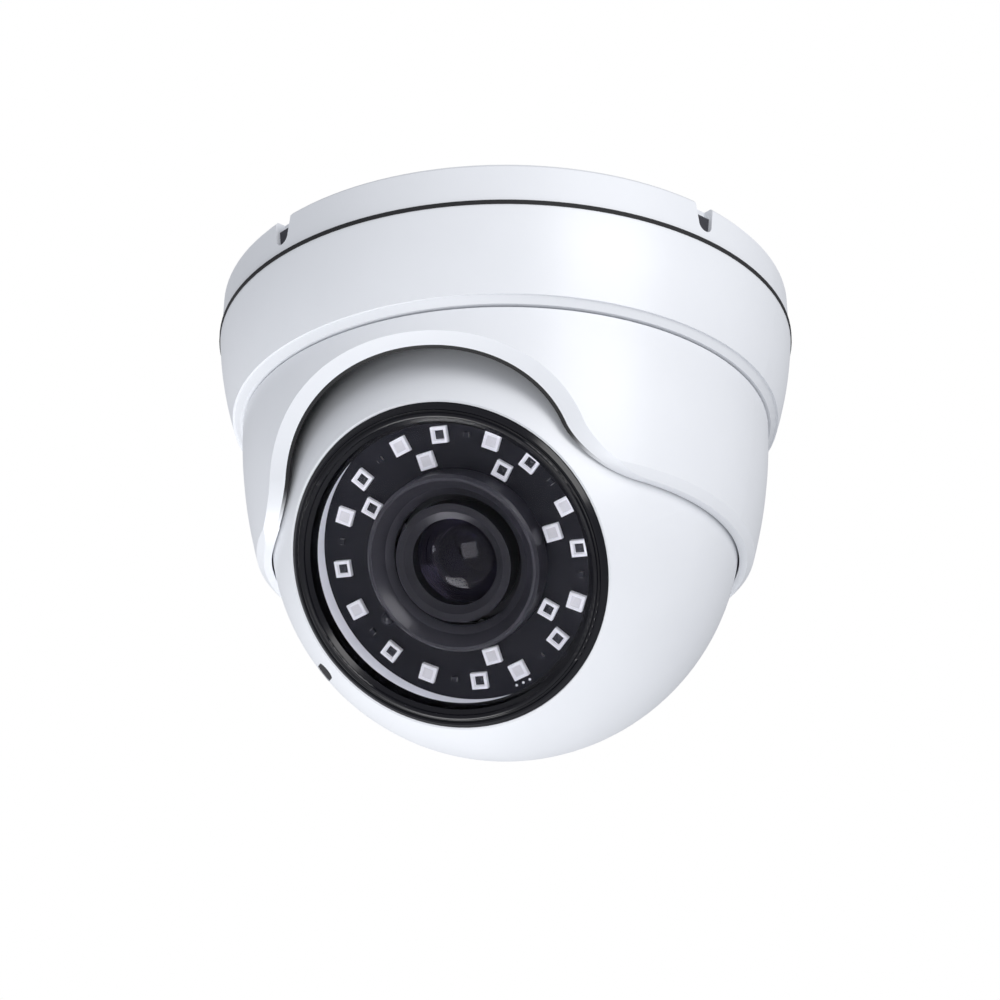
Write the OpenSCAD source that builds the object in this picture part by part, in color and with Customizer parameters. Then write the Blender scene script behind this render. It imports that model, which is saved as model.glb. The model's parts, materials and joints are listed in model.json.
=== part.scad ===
// Ceiling turret camera: a fixed base, a turning shell, and a ball that tilts and rolls inside it.
// The origin is the middle of the ceiling face, +Z points into the ceiling, and the lens looks towards -Y.

/* [Overall] */
// Outside diameter of the base
body_d = 110; // [92:1:132]
// Height of the mounting base
base_h = 7.9; // [6.6:0.1:9.5]
// Downward angle of the lens at rest
look_down = 36.5; // [20:0.5:60]
// Free height between the ball and the ceiling
ceiling_gap = 1.7; // [1.4:0.1:3]

/* [Mounting base] */
// Thickness of the ceiling plate
plate_t = 2.6; // [2:0.1:4]
// Wall of the base rim
rim_wall = 3.1; // [2.5:0.1:4]
// Wall of the skirt that locates the housing
skirt_wall = 2; // [1.6:0.1:3]
// Depth of the skirt below the base
skirt_drop = 6.6; // [5:0.1:9]
// Radius of the opening in the middle of the plate
middle_r = 18; // [14:0.5:22]
// Radius of the circle of ceiling screw holes
fixing_r = 38; // [32:0.5:42]
// Radius of a ceiling screw hole
fixing_hole_r = 2.25; // [1.8:0.05:3]
// Radius of the hole for the cable grommet
cable_hole_r = 6; // [5:0.25:8]
// Radius of the passage through the grommet
cable_pass_r = 3.5; // [2.5:0.25:4.5]
// Width of a rim notch at the ceiling
notch_w = 4.6; // [3.6:0.1:6]
// Bearing angle of the first rim notch
notch_turn = -25; // [-45:1:45]

/* [Housing] */
// Thickness of the base gasket
gasket_t = 0.8; // [0.5:0.1:1.2]
// Radius of the curve down the housing
housing_curve = 71.5; // [60:0.5:90]
// Height of the widest point above the gasket
crown_rise = 4.7; // [2:0.1:6]
// How far the housing draws in at the seam
housing_taper = 3.83; // [3:0.01:5]
// Clearance between housing and skirt
skirt_gap = 0.5; // [0.3:0.05:0.8]
// Thickness of the inner ledge
ledge_t = 2.5; // [2:0.1:3.5]

/* [Turning shell] */
// Seam between the housing and the shell
seam_gap = 0.4; // [0.3:0.05:0.6]
// Step from the housing in to the shell
seam_step = 1.3; // [0.8:0.1:2]
// Wall of the shell at the seam
shell_wall = 4.1; // [3.6:0.1:5]
// Wall behind the curved front face
front_wall = 2.4; // [2:0.1:3]
// Radius of the curve down the shell
shell_curve = 98; // [80:1:130]
// How far the lip hangs below the middle of the ball
lip_drop = 8.5; // [6.5:0.1:10]
// Clearance between the lip and the ball
lip_gap = 0.35; // [0.3:0.01:0.5]
// Height of the lip at the front, seen from inside
lip_h = 1.2; // [0.8:0.1:2]
// Height of the lip under the yoke
well_h = 2.6; // [2.2:0.1:3.2]
// Wall of the neck
neck_wall = 2.8; // [2.2:0.1:3.4]
// Running clearance round the neck
neck_gap = 0.3; // [0.25:0.05:0.5]
// Thickness of the pan washer
pan_washer_t = 0.8; // [0.5:0.1:1.2]
// Running clearance above the pan washer
pan_play = 0.1; // [0.05:0.01:0.3]
// Thickness of the ring that holds the neck
retainer_t = 2; // [1.6:0.1:3]

/* [Front opening] */
// Radius of the scoop that opens the front
scoop_r = 50.6; // [45:0.1:56]
// Distance of the scoop's middle in front of the axis
scoop_y = 82.3; // [78:0.1:88]
// Depth of the scoop's middle below the middle of the ball
scoop_drop = 23; // [19:0.1:27]
// Rounding where the scoop runs into the lip
scoop_round = 14; // [8:0.5:16]

/* [Yoke] */
// Thickness of the yoke strip
yoke_t = 1; // [0.8:0.1:1.4]
// Width of the yoke strip
yoke_w = 10; // [8:0.5:11]
// Clearance between the ball and the yoke
yoke_gap = 0.35; // [0.3:0.05:0.5]
// Clearance between the yoke and the shell
yoke_side_gap = 0.45; // [0.3:0.05:0.6]
// Radius of a tilt pin
pin_r = 2; // [1.6:0.1:2.5]
// Running clearance of a pin in its bush
pin_play = 0.05; // [0.02:0.01:0.1]
// Wall of a tilt bush
bush_wall = 0.9; // [0.7:0.1:1.2]
// Depth of a tilt bush in the shell
bush_t = 1; // [0.8:0.1:1.2]

/* [Ball] */
// Wall of the ball
ball_wall = 2.4; // [2:0.1:3]
// Thickness of the back cover
cover_t = 2.2; // [1.8:0.1:3]
// Thickness of the seal between ball and cover
seal_t = 0.6; // [0.4:0.1:1]
// Radius of the hollow hub
hub_r = 7; // [6:0.25:8]
// Radius of the cable passage in the hub
hub_bore_r = 4.5; // [3.5:0.25:5]
// Running clearance of the hub in the yoke
hub_play = 0.08; // [0.02:0.01:0.1]
// Thickness of the bridge of the yoke
bridge_t = 1.5; // [1.2:0.1:2]
// Thickness of the roll washer
roll_washer_t = 0.4; // [0.3:0.1:0.8]
// Running clearance on each side of the bridge
roll_play = 0.1; // [0.05:0.01:0.3]
// Width of the adjuster slot
slot_w = 3.4; // [2.8:0.1:4]
// Length of the adjuster slot
slot_l = 8.5; // [7:0.1:10]
// Turn of the camera about its lens axis
ball_turn = 207.5; // [180:0.5:240]

/* [Bezel and window] */
// Radius of the bezel as a share of the ball
bezel_share = 0.675; // [0.64:0.005:0.69]
// White rim left round the bezel
bezel_rim = 0.5; // [0.3:0.05:0.8]
// Height of the raised ring above the rim
crest_h = 1.3; // [0.8:0.1:1.6]
// Width of the bezel from its edge to the clear window
bezel_band = 4.05; // [3.6:0.05:5]
// Thickness of the window
window_t = 1.6; // [1.2:0.1:2]

/* [Lights] */
// Side of one emitter
led_size = 3; // [2.6:0.1:3.5]
// Height of one emitter
led_h = 1.1; // [0.8:0.1:1.6]
// Depth of the light board below the rim
led_depth = 7; // [6:0.1:8]
// From the clear window in to the outer row
led_inset = 2.85; // [2.5:0.05:3.5]
// From the outer row in to the inner row
led_row_gap = 4.2; // [3.8:0.05:4.6]
// Half angle between the two emitters of a pair
led_pair = 10; // [9:0.5:11.25]
// Thickness of a circuit board
board_t = 1.2; // [1:0.1:1.6]

/* [Lens] */
// Clearance between the inner row and the hood
hood_gap = 0.8; // [0.3:0.05:1]
// From the hood in to the barrel
hood_band = 5.4; // [5:0.1:6]
// Ring between the barrel edge and the front lens
lens_band = 2.5; // [2:0.1:3]
// Width of an adjusting ring
ring_w = 3.2; // [2.6:0.1:4]
// Height of an adjusting ring
ring_h = 3; // [2.4:0.1:4]
// Running clearance of an adjusting ring
ring_play = 0.06; // [0.02:0.01:0.1]

/* [Hidden] */
$fn = 96;
eps = 0.01;
body_r = body_d / 2;
gasket_z = -base_h;
housing_z = gasket_z - gasket_t;
seam_r = body_r - housing_taper;
shell_top_r = seam_r - seam_step;
cavity_r = shell_top_r - shell_wall;
yoke_room = yoke_gap + yoke_t + yoke_side_gap;
ball_r = cavity_r - yoke_room;
ball_z = -(ball_r + ceiling_gap);
shell_top_z = ball_z + 0.432 * ball_r;
seam_z = shell_top_z + seam_gap;
crown_z = housing_z + crown_rise;
lip_z = ball_z - lip_drop;
skirt_r = body_r - rim_wall - 0.5;
skirt_in_r = skirt_r - skirt_wall;
skirt_z = gasket_z - skirt_drop;
upper_r = skirt_r + skirt_gap;
lower_r = seam_r - 1.8;
ledge_z = seam_z + ledge_t;
neck_r = cavity_r + 0.2;
neck_in_r = neck_r - neck_wall;
ledge_r = neck_r + neck_gap;
retainer_z = ledge_z + pan_washer_t + pan_play;
retainer_r = lower_r - 0.5;
stop_r = lower_r - 2.6;
screw_z = housing_z - 4;
yoke_in_r = ball_r + yoke_gap;
yoke_out_r = yoke_in_r + yoke_t;
pocket_r = yoke_w / 2 + 1.2;
pocket_x = cavity_r + 0.2;
socket_x = pocket_x + bush_t;
bush_r = pin_r + pin_play + bush_wall;
pin_end_x = socket_x - 0.2;
inner_r = ball_r - ball_wall;
bezel_r = bezel_share * ball_r;
front_d = sqrt(ball_r * ball_r - pow(bezel_r + bezel_rim, 2));
split_d = -0.395 * ball_r;
cover_d = split_d - seal_t;
back_d = -0.675 * ball_r;
cover_end = back_d - cover_t;
boss_r = 0.86 * inner_r;
main_r = boss_r - 4.6;
flange_h = 7;
bridge_d = cover_end - roll_play - roll_washer_t;
bridge_end = bridge_d - bridge_t;
nut_d = bridge_end - roll_play;
nut_t = 3;
hub_end = nut_d - nut_t - 0.8;
nut_r = hub_r + 4;
window_r = bezel_r - bezel_band;
glass_r = bezel_r - 2.4;
skirt_b_r = glass_r + 0.1;
thread_r = glass_r + 1.1;
collar_r = bezel_r + 1.3;
seat_d = front_d - 2.4;
glass_d = front_d - 0.1;
mask_d = glass_d - window_t;
mask_t = 0.15;
board_d = front_d - led_depth;
board_r = window_r + 1.35;
collar_d = board_d - board_t - 1.8;
led_r = window_r - led_inset;
led_r_in = led_r - led_row_gap;
hood_r = led_r_in - led_size / 2 - hood_gap;
hood_d = mask_d - mask_t - 0.1;
barrel_r = hood_r - hood_band;
barrel_d = front_d - 2.8;
eye_r = barrel_r - lens_band;
front_curve = 1.6 * eye_r;
front_low = barrel_d - 2 - 0.36 * eye_r;
chassis_d = 0.2 * ball_r;
chassis_t = 1.6;
sensor_d = 0.05 * ball_r;
main_d = -0.3 * ball_r;
ring_span = board_d - board_t - chassis_d - chassis_t;
focus_d = chassis_d + chassis_t + ring_span / 3 - ring_w / 2 - 0.6;
zoom_d = chassis_d + chassis_t + ring_span * 2 / 3 - ring_w / 2 + 0.6;
post_r = bezel_r + 0.8;
standoff_r = 0.62 * ball_r;
plug_polar = 54.8;
scoop_z = ball_z - scoop_drop;
round_z = lip_z + scoop_round;
bite = 0.02;
round_y = -scoop_y + sqrt(pow(scoop_r + scoop_round - bite, 2) - pow(round_z - scoop_z, 2));
floor_w = 1.9;
floor_z = lip_z + well_h;
edge_r = ball_r + 1;
well_y = -8;

// ---- helpers -------------------------------------------------------------

// Places what follows at a bearing round the vertical axis, facing outwards from a radius.
module outwards(bearing, radius, height) {
  rotate([0, 0, bearing])
    translate([0, -radius, height])
      rotate([90, 0, 0])
        children();
}

// Places what follows on the lens axis: +Z looks out through the window.
module on_lens() {
  translate([0, 0, ball_z])
    rotate([90 + look_down, 0, 0])
      children();
}

// A flat ring.
module ring(r_out, r_in, z, h) {
  translate([0, 0, z])
    difference() {
      cylinder(r = r_out, h = h);
      translate([0, 0, -1])
        cylinder(r = r_in, h = h + 2);
    }
}

// Repeats round the axis.
module around(angles, radius) {
  for (a = angles)
    rotate([0, 0, a])
      translate([radius, 0, 0])
        children();
}

// A screw with its head at the bottom of its own frame and its shank going up.
module screw(head_r, head_h, shank_r, shank_l, key_r) {
  difference() {
    union() {
      cylinder(r1 = head_r, r2 = head_r * 0.8, h = head_h);
      cylinder(r = shank_r, h = head_h + shank_l);
    }
    translate([0, 0, -1])
      cylinder(r = key_r, h = 1 + head_h * 0.6, $fn = 6);
  }
}

// ---- fixed to the ceiling ------------------------------------------------

// Outline of a rim notch, seen from outside.
module notch_outline(width, foot_r, top) {
  translate([0, -4.3])
    circle(r = foot_r);
  polygon([[-foot_r, -4.3], [foot_r, -4.3], [width / 2, top], [-width / 2, top]]);
}

module base_plate() {
  color([0.88, 0.89, 0.91])
  difference() {
    union() {
      difference() {
        union() {
          translate([0, 0, -base_h])
            cylinder(r1 = body_r - 0.3, r2 = body_r - 0.5, h = base_h - 0.6);
          translate([0, 0, -0.6 - eps])
            cylinder(r1 = body_r - 0.5, r2 = body_r - 1, h = 0.6 + eps);
        }
        translate([0, 0, -base_h - 1])
          cylinder(r = body_r - rim_wall, h = base_h + 1 - plate_t);
      }
      ring(skirt_r, skirt_in_r, skirt_z, -skirt_z - plate_t + 0.5);
      for (a = [-135, 135])
        outwards(a, skirt_in_r - 5, screw_z)
          cylinder(r = 2.4, h = 6);
      for (a = [0, 120, 240])
        rotate([0, 0, a])
          translate([0, -fixing_r, -plate_t - 2])
            cylinder(r = fixing_hole_r + 2.4, h = 2.5);
    }
    translate([0, 0, -plate_t - 1])
      cylinder(r = middle_r, h = plate_t + 2);
    for (a = [0, 120, 240])
      rotate([0, 0, a])
        translate([0, -fixing_r, -10])
          cylinder(r = fixing_hole_r, h = 12);
    translate([0, fixing_r - 8, -10])
      cylinder(r = cable_hole_r, h = 12);
    for (a = [-135, 135])
      outwards(a, skirt_in_r - 6, screw_z)
        cylinder(r = 1.52, h = 10);
    // window in the skirt for the tongue of the housing
    outwards(0, skirt_in_r - 1, 0)
      translate([-7, screw_z - 1.4, 0])
        cube([14, 2.8, skirt_wall + 2]);
    for (a = [0:90:270])
      outwards(notch_turn + a, body_r - rim_wall + 0.4, 0)
        linear_extrude(height = 5)
          notch_outline(notch_w, 1.6, 0.5);
  }
}

module notch_plug() {
  color([0.13, 0.13, 0.15])
  for (a = [0:90:270])
    outwards(notch_turn + a, body_r - rim_wall + 0.4, 0)
      linear_extrude(height = 1.4)
        intersection() {
          notch_outline(notch_w, 1.6, 0.5);
          translate([-5, -10])
            square([10, 7.8]);
        }
}

module cable_grommet() {
  color([0.1, 0.1, 0.11])
  translate([0, fixing_r - 8, 0])
    difference() {
      union() {
        translate([0, 0, -plate_t - 1.2])
          cylinder(r = cable_hole_r + 1.4, h = 1.2);
        translate([0, 0, -plate_t - eps])
          cylinder(r = cable_hole_r - 0.05, h = plate_t);
      }
      translate([0, 0, -6])
        cylinder(r = cable_pass_r, h = 8);
    }
}

module base_gasket() {
  color([0.05, 0.05, 0.06])
  ring(body_r + 0.1, body_r - rim_wall, housing_z, gasket_t);
}

module housing_profile() {
  difference() {
    intersection() {
      translate([body_r + 0.06 - housing_curve, crown_z])
        circle(r = housing_curve, $fn = 240);
      translate([ledge_r, seam_z])
        square([body_r, housing_z - seam_z]);
    }
    translate([-1, ledge_z])
      square([lower_r + 1, 60]);
    translate([-1, skirt_z - 0.7])
      square([upper_r + 1, 60]);
    polygon([[seam_r - 0.8, seam_z - eps], [seam_r + 2, seam_z - eps],
      [seam_r + 2, seam_z + 1.2], [seam_r + 0.3, seam_z + 1.2]]);
  }
}

module housing() {
  color([0.88, 0.89, 0.91])
  difference() {
    union() {
      rotate_extrude()
        housing_profile();
      // tongue that hooks into the skirt
      outwards(0, skirt_in_r + 0.3, 0)
        translate([-6, screw_z - 1.1, 0])
          cube([12, 2.2, upper_r - skirt_in_r + 0.4]);
      // pan stop
      outwards(180, stop_r, 0)
        translate([-3, retainer_z + retainer_t + 0.5, 0])
          cube([6, 3, lower_r - stop_r + 0.8]);
    }
    for (a = [-135, 135])
      outwards(a, body_r - 8, screw_z) {
        cylinder(r = 1.6, h = 12);
        translate([0, 0, 6.2])
          cylinder(r = 3, h = 6);
      }
  }
}

module housing_screw() {
  color([0.62, 0.63, 0.65])
  for (a = [-135, 135])
    outwards(a, skirt_in_r - 4.6, screw_z)
      rotate([180, 0, 0])
        translate([0, 0, -(body_r - skirt_in_r + 4.6 - 0.4)])
          screw(2.8, 1.4, 1.5, body_r - skirt_in_r + 2.8, 1.25);
}

module pan_washer() {
  color([0.93, 0.93, 0.9])
  ring(lower_r - 0.1, ledge_r + 0.1, ledge_z, pan_washer_t);
}

// ---- turns about the vertical axis ---------------------------------------

module shell_profile() {
  difference() {
    intersection() {
      translate([shell_top_r - shell_curve, shell_top_z])
        circle(r = shell_curve, $fn = 240);
      translate([20, lip_z])
        square([body_r, shell_top_z - lip_z]);
    }
    // hollow round the ball, with an even wall behind the curved face
    intersection() {
      translate([shell_top_r - shell_curve, shell_top_z])
        circle(r = shell_curve - front_wall, $fn = 240);
      translate([20, lip_z + lip_h])
        square([body_r, shell_top_z - 2.8 - lip_z - lip_h]);
    }
    translate([-1, lip_z + lip_h])
      square([neck_in_r + 1, 60]);
    translate([0, ball_z])
      circle(r = ball_r + lip_gap, $fn = 240);
    // eased outer edge of the lip
    polygon([[edge_r, lip_z - eps], [edge_r + 6, lip_z - eps],
      [edge_r + 6, lip_z + 6], [edge_r + 1.52, lip_z + 1.6]]);
  }
}

// Deeper hollow at the sides and back where the yoke swings, with a sloping floor.
module yoke_well() {
  intersection() {
    rotate_extrude()
      polygon([[30, floor_z], [cavity_r - floor_w, floor_z],
        [cavity_r, floor_z + floor_w], [cavity_r, shell_top_z - 3.2], [30, shell_top_z - 3.2]]);
    translate([-body_r, well_y, lip_z])
      cube([body_d, body_r - well_y, shell_top_z - lip_z]);
  }
}

// Side view of the scoop that opens the front, with its rounded run into the lip.
module scoop_outline() {
  translate([-scoop_y, scoop_z])
    circle(r = scoop_r, $fn = 240);
  difference() {
    polygon([[-scoop_y, scoop_z], [round_y, scoop_z], [round_y, round_z]]);
    translate([round_y, round_z])
      circle(r = scoop_round, $fn = 180);
  }
}

module turret_shell() {
  color([0.9, 0.91, 0.93])
  difference() {
    union() {
      rotate_extrude()
        shell_profile();
      ring(neck_r, neck_in_r, shell_top_z - 1, retainer_z - shell_top_z + 1);
    }
    yoke_well();
    translate([-80, 0, 0])
      rotate([90, 0, 90])
        linear_extrude(height = 160)
          scoop_outline();
    for (s = [0, 180])
      rotate([0, 0, s])
        translate([0, 0, ball_z])
          rotate([0, 90, 0]) {
            cylinder(r = pocket_r, h = pocket_x);
            cylinder(r = bush_r + 0.02, h = socket_x);
          }
    for (a = [45:90:315])
      rotate([0, 0, a])
        translate([neck_r - neck_wall / 2, 0, retainer_z - 4])
          cylinder(r = 0.82, h = 6);
  }
}

module tilt_bush() {
  color([0.92, 0.92, 0.88])
  for (s = [0, 180])
    rotate([0, 0, s])
      translate([pocket_x, 0, ball_z])
        rotate([0, 90, 0])
          ring(bush_r, pin_r + pin_play, 0, bush_t);
}

module pan_retainer() {
  color([0.7, 0.71, 0.73])
  difference() {
    union() {
      ring(retainer_r, neck_in_r, retainer_z, retainer_t);
      // pan stop tooth
      rotate([0, 0, 0])
        translate([-3, -retainer_r + 0.4, retainer_z + retainer_t - eps])
          cube([6, 3.2, 3]);
    }
    for (a = [45:90:315])
      rotate([0, 0, a])
        translate([neck_r - neck_wall / 2, 0, retainer_z - 1])
          cylinder(r = 0.9, h = retainer_t + 2);
  }
}

module retainer_screw() {
  color([0.62, 0.63, 0.65])
  for (a = [45:90:315])
    rotate([0, 0, a])
      translate([neck_r - neck_wall / 2, 0, retainer_z + retainer_t + 1.2])
        rotate([180, 0, 0])
          screw(1.6, 1.2, 0.8, retainer_t + 3, 0.8);
}

// ---- tilts about the cross axis ------------------------------------------

module tilt_yoke() {
  color([0.72, 0.73, 0.75])
  on_lens()
    difference() {
      union() {
        intersection() {
          difference() {
            sphere(r = yoke_out_r, $fn = 160);
            sphere(r = yoke_in_r, $fn = 160);
          }
          union() {
            translate([-60, -yoke_w / 2, bridge_end])
              cube([120, yoke_w, -bridge_end]);
            translate([-60, 0, 0])
              rotate([0, 90, 0])
                cylinder(r = yoke_w / 2, h = 120);
          }
        }
        intersection() {
          sphere(r = yoke_out_r, $fn = 160);
          union() {
            translate([-60, -yoke_w / 2, bridge_end])
              cube([120, yoke_w, bridge_t]);
            translate([0, 0, bridge_end])
              cylinder(r = nut_r + 2, h = bridge_t);
          }
        }
      }
      translate([0, 0, bridge_end - 1])
        cylinder(r = hub_r + hub_play, h = bridge_t + 2);
      translate([-60, 0, 0])
        rotate([0, 90, 0])
          cylinder(r = pin_r + 0.01, h = 120);
    }
}

module tilt_pin() {
  color([0.6, 0.61, 0.63])
  for (s = [0, 180])
    rotate([0, 0, s])
      translate([yoke_in_r + 0.05, 0, ball_z])
        rotate([0, 90, 0])
          cylinder(r = pin_r, h = pin_end_x - yoke_in_r - 0.05);
}

module roll_washer() {
  color([0.93, 0.93, 0.9])
  on_lens()
    ring(nut_r + 1.6, hub_r + 0.3, bridge_d, roll_washer_t);
}

// ---- rolls about the lens axis -------------------------------------------

// Outline of the adjuster slot along the ball's surface.
module slot_tool(grow) {
  rotate([0, 0, ball_turn])
    rotate([0, plug_polar, 0]) {
      translate([-slot_l / 2 + slot_w / 2, -slot_w / 2 - grow, 20])
        cube([slot_l - slot_w, slot_w + 2 * grow, 40]);
      for (s = [-1, 1])
        translate([s * (slot_l - slot_w) / 2, 0, 20])
          cylinder(r = slot_w / 2 + grow, h = 40);
    }
}

module ball_shell() {
  color([0.92, 0.93, 0.95])
  on_lens()
    difference() {
      union() {
        intersection() {
          difference() {
            sphere(r = ball_r, $fn = 200);
            // a thick flange stays at the back for the cover screws
            intersection() {
              sphere(r = inner_r, $fn = 200);
              translate([0, 0, split_d + flange_h])
                cylinder(r = ball_r, h = 2 * ball_r);
            }
            translate([0, 0, split_d - 1])
              cylinder(r = boss_r - 4, h = flange_h + 2);
          }
          translate([0, 0, split_d])
            cylinder(r = ball_r + 1, h = front_d - split_d);
        }
        intersection() {
          sphere(r = ball_r - 1, $fn = 200);
          union() {
            ring(collar_r, thread_r + 0.05, collar_d, front_d - collar_d);
            ring(collar_r, window_r - 1.2, collar_d, board_d - board_t - collar_d);
          }
        }
        // posts for the chassis
        around([ball_turn - 60, ball_turn + 60, ball_turn + 180], post_r - 2.2)
          translate([0, 0, chassis_d + chassis_t])
            cylinder(r = 2.6, h = collar_d - chassis_d - chassis_t + 1.4);
      }
      // seat of the bezel
      translate([0, 0, seat_d])
        cylinder(r = bezel_r + 0.1, h = 10);
      translate([0, 0, board_d - board_t])
        cylinder(r = thread_r + 0.05, h = 20);
      around([ball_turn - 60, ball_turn + 60, ball_turn + 180], post_r - 2.2)
        translate([0, 0, chassis_d + chassis_t - 1])
          cylinder(r = 1.02, h = 7);
      around([ball_turn + 45 : 90 : ball_turn + 315], boss_r)
        translate([0, 0, split_d - 1])
          cylinder(r = 1.02, h = 6.5);
      slot_tool(0.02);
    }
}

module ball_seal() {
  color([0.07, 0.07, 0.08])
  on_lens()
    difference() {
      intersection() {
        sphere(r = ball_r - 0.1, $fn = 200);
        ring(ball_r, boss_r - 4, cover_d, seal_t);
      }
      around([ball_turn + 45 : 90 : ball_turn + 315], boss_r)
        translate([0, 0, cover_d - 1])
          cylinder(r = 1.1, h = seal_t + 2);
    }
}

module back_cover() {
  color([0.9, 0.91, 0.93])
  on_lens()
    difference() {
      union() {
        intersection() {
          difference() {
            sphere(r = ball_r, $fn = 200);
            intersection() {
              sphere(r = inner_r, $fn = 200);
              translate([0, 0, back_d])
                cylinder(r = boss_r - 4, h = ball_r);
            }
          }
          translate([0, 0, cover_end])
            cylinder(r = ball_r + 1, h = cover_d - cover_end);
        }
        translate([0, 0, hub_end])
          cylinder(r = hub_r, h = cover_end - hub_end + 1);
      }
      translate([0, 0, hub_end - 1])
        cylinder(r = hub_bore_r, h = back_d - hub_end + 2);
      around([ball_turn + 45 : 90 : ball_turn + 315], boss_r) {
        translate([0, 0, cover_d - 12])
          cylinder(r = 1.1, h = 14);
        translate([0, 0, cover_d - 14])
          cylinder(r = 2.3, h = 14 - cover_t - 0.2);
      }
    }
}

module cover_screw() {
  color([0.62, 0.63, 0.65])
  on_lens()
    around([ball_turn + 45 : 90 : ball_turn + 315], boss_r)
      translate([0, 0, cover_d - cover_t - 1.4])
        screw(2.1, 1.2, 1, cover_t + 6, 0.95);
}

module hub_nut() {
  color([0.6, 0.61, 0.63])
  on_lens()
    difference() {
      translate([0, 0, nut_d - nut_t])
        cylinder(r = nut_r, h = nut_t);
      translate([0, 0, nut_d - nut_t - 1])
        cylinder(r = hub_r + 0.01, h = nut_t + 2);
      around([0:60:300], nut_r)
        translate([0, 0, nut_d - nut_t - 1])
          cylinder(r = 1.6, h = nut_t - 0.2);
    }
}

module adjuster_plug() {
  color([0.1, 0.1, 0.11])
  on_lens()
    intersection() {
      difference() {
        sphere(r = ball_r - 0.15, $fn = 200);
        sphere(r = inner_r, $fn = 200);
      }
      slot_tool(0);
    }
}

// Section of the bezel: outer edge, groove, raised ring, slope down to the window.
module bezel_profile() {
  difference() {
    union() {
      polygon([[glass_r - 0.9, glass_d], [bezel_r, glass_d], [bezel_r, front_d + 0.2],
        [bezel_r - 0.7, front_d + 0.9], [bezel_r - 1.2, front_d + 0.9],
        [bezel_r - 1.8, front_d + 0.7], [bezel_r - 2.6, front_d + 0.8],
        [glass_r - 0.9, front_d + 0.1]]);
      translate([bezel_r - 2.05, front_d + crest_h - 0.5])
        circle(r = 0.5, $fn = 48);
      translate([skirt_b_r, seat_d + 0.4])
        square([bezel_r - skirt_b_r, glass_d - seat_d - 0.4 + eps]);
      translate([skirt_b_r, board_d + 1])
        square([thread_r - skirt_b_r, seat_d - board_d - 0.5]);
    }
    translate([bezel_r - 1.35, front_d + 1.05])
      circle(r = 0.35, $fn = 48);
  }
}

module bezel() {
  color([0.08, 0.08, 0.1])
  on_lens()
    rotate_extrude()
      bezel_profile();
}

module bezel_seal() {
  color([0.05, 0.05, 0.06])
  on_lens()
    ring(bezel_r - 0.1, thread_r + 0.15, seat_d, 0.4);
}

module window() {
  color([0.2, 0.2, 0.25, 0.4])
  on_lens()
    translate([0, 0, mask_d + 0.02])
      cylinder(r = glass_r, h = window_t - 0.04);
}

module window_mask() {
  color([0.03, 0.03, 0.04])
  on_lens()
    ring(glass_r, window_r, mask_d - mask_t, mask_t);
}

module baffle_ring() {
  color([0.85, 0.86, 0.88])
  on_lens()
    difference() {
      translate([0, 0, board_d])
        cylinder(r = glass_r - 0.1, h = mask_d - mask_t - board_d);
      translate([0, 0, board_d - eps])
        cylinder(r1 = window_r + 0.8, r2 = window_r + 0.05, h = mask_d - mask_t - board_d + 2 * eps);
    }
}

module light_board() {
  color([0.12, 0.12, 0.15])
  on_lens()
    ring(board_r, barrel_r + 2.2, board_d - board_t, board_t);
}

pair_angles = [for (i = [0:7]) ball_turn + 22.5 + i * 45];
outer_angles = [for (a = pair_angles) for (s = [-1, 1]) a + s * led_pair];
inner_angles = [for (i = [1:6]) ball_turn + 22.5 + i * 45];

// Frame of one emitter.
module emitter_frame() {
  difference() {
    translate([-led_size / 2, -led_size / 2, 0])
      cube([led_size, led_size, led_h]);
    translate([-led_size * 0.27, -led_size * 0.27, led_h * 0.45])
      cube([led_size * 0.54, led_size * 0.54, led_h]);
  }
}

module ir_emitter() {
  color([0.9, 0.9, 0.92])
  on_lens() {
    around(outer_angles, led_r)
      translate([0, 0, board_d])
        emitter_frame();
    around(inner_angles, led_r_in)
      translate([0, 0, board_d])
        emitter_frame();
  }
}

module emitter_chip() {
  color([0.25, 0.25, 0.3])
  on_lens() {
    around(outer_angles, led_r)
      translate([-led_size * 0.18, -led_size * 0.18, board_d + led_h * 0.45])
        cube([led_size * 0.36, led_size * 0.36, led_h * 0.3]);
    around(inner_angles, led_r_in)
      translate([-led_size * 0.18, -led_size * 0.18, board_d + led_h * 0.45])
        cube([led_size * 0.36, led_size * 0.36, led_h * 0.3]);
  }
}

module light_sensor() {
  color([0.3, 0.3, 0.34])
  on_lens()
    around([ball_turn], led_r_in)
      translate([0, 0, board_d]) {
        cylinder(r = 1.5, h = 0.8);
        translate([0, 0, 0.8])
          intersection() {
            sphere(r = 1.2);
            cylinder(r = 2, h = 2);
          }
      }
}

module lens_hood() {
  color([0.22, 0.22, 0.25])
  on_lens()
    rotate_extrude()
      difference() {
        polygon([[barrel_r + 1.2, board_d], [hood_r + 0.1, board_d], [hood_r, hood_d - 0.6],
          [hood_r - 0.5, hood_d], [hood_r - 1, hood_d], [hood_r - 2.8, hood_d - 2.2],
          [barrel_r + 1.2, hood_d - 3.2]]);
        translate([barrel_r, board_d - 1])
          square([eps, 1]);
      }
}

module lens_barrel() {
  color([0.16, 0.16, 0.19])
  on_lens()
    difference() {
      union() {
        translate([0, 0, sensor_d + 4])
          cylinder(r = barrel_r * 0.8, h = 8);
        translate([0, 0, chassis_d + chassis_t + 0.2])
          cylinder(r = barrel_r - 1, h = barrel_d - chassis_d - chassis_t - 1.2);
      }
      translate([0, 0, sensor_d])
        cylinder(r = barrel_r * 0.55, h = 60);
      translate([0, 0, front_low - 4])
        cylinder(r = eye_r, h = 20);
    }
}

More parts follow.
